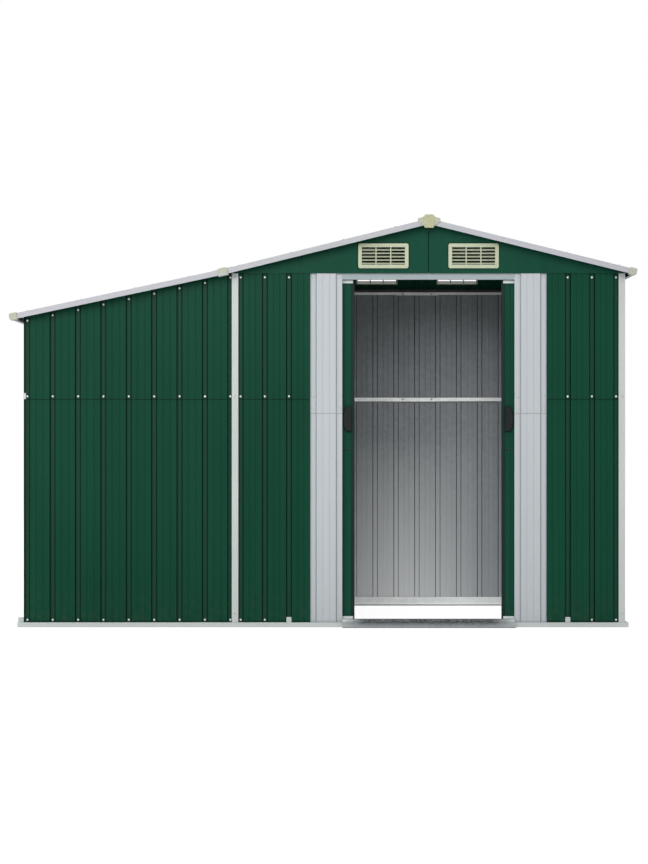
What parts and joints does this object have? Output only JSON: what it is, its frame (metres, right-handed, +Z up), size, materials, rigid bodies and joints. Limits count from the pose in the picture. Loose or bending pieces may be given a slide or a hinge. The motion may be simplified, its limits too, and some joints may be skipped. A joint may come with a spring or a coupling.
{
  "type": "metal storage shed with lean-to",
  "caption": "Green ribbed steel garden shed with a low gable roof, paired sliding doors in a pale doorway, louvred gable vents and a lean-to log store on its left",
  "frame": {"origin": "on the ground, under the middle of the roof's outline", "axes": "X to the right as seen from the doors, Y to the back, Z up"},
  "size_m": [2.7698, 1.105, 1.8232],
  "materials": {
    "green_paint": "satin",
    "white_paint": "satin",
    "dark_paint": "satin",
    "zinc": "spangled zinc",
    "cream_plastic": "satin",
    "black_plastic": "matt"
  },
  "bodies": {
    "shed": {"leanto_front_lower": "green_paint", "leanto_front_upper": "green_paint", "leanto_back_lower": "green_paint", "leanto_back_upper": "green_paint", "front_wall_lower": "green_paint", "front_wall_upper": "green_paint", "right_wall_lower": "green_paint", "right_wall_upper": "green_paint", "left_wall_lower": "green_paint", "left_wall_upper": "green_paint", "back_wall_lower": "green_paint", "back_wall_upper": "green_paint", "front_gable": "green_paint", "back_gable": "green_paint", "roof_right": "green_paint", "roof_left": "green_paint", "roof_leanto": "green_paint", "base_rail_front": "white_paint", "base_rail_back": "white_paint", "base_rails_side": "white_paint", "corner_posts_front": "white_paint", "corner_posts_back": "white_paint", "leanto_posts": "white_paint", "jamb_panels_lower": "white_paint", "jamb_panels_upper": "white_paint", "door_header": "white_paint", "back_top_rail": "white_paint", "side_top_rails": "white_paint", "leanto_top_rails": "white_paint", "front_mid_rails": "white_paint", "back_mid_rails": "white_paint", "side_mid_rails": "white_paint", "rake_trims": "white_paint", "eave_trims": "white_paint", "ridge_cap": "white_paint", "roof_joint_trim": "white_paint", "door_sill": "zinc", "door_floor_track": "zinc", "door_track": "zinc", "roof_beams": "zinc", "front_vents": "cream_plastic", "back_vents": "cream_plastic", "ridge_end_caps": "cream_plastic", "eave_end_caps": "cream_plastic"},
    "left_door": {"left_door_panels": "green_paint", "left_door_rails": "white_paint", "left_door_stiles": "dark_paint", "left_door_handle": "black_plastic", "left_door_hangers": "black_plastic"},
    "right_door": {"right_door_panels": "green_paint", "right_door_rails": "white_paint", "right_door_stiles": "dark_paint", "right_door_handle": "black_plastic", "right_door_hangers": "black_plastic"}
  },
  "joints": [
    {"name": "left_door_slide", "type": "slide", "parent": "shed", "child": "left_door", "axis": [1, 0, 0], "range_m": [0, 0.325]},
    {"name": "right_door_slide", "type": "slide", "parent": "shed", "child": "right_door", "axis": [-1, 0, 0], "range_m": [0, 0.325]}
  ]
}
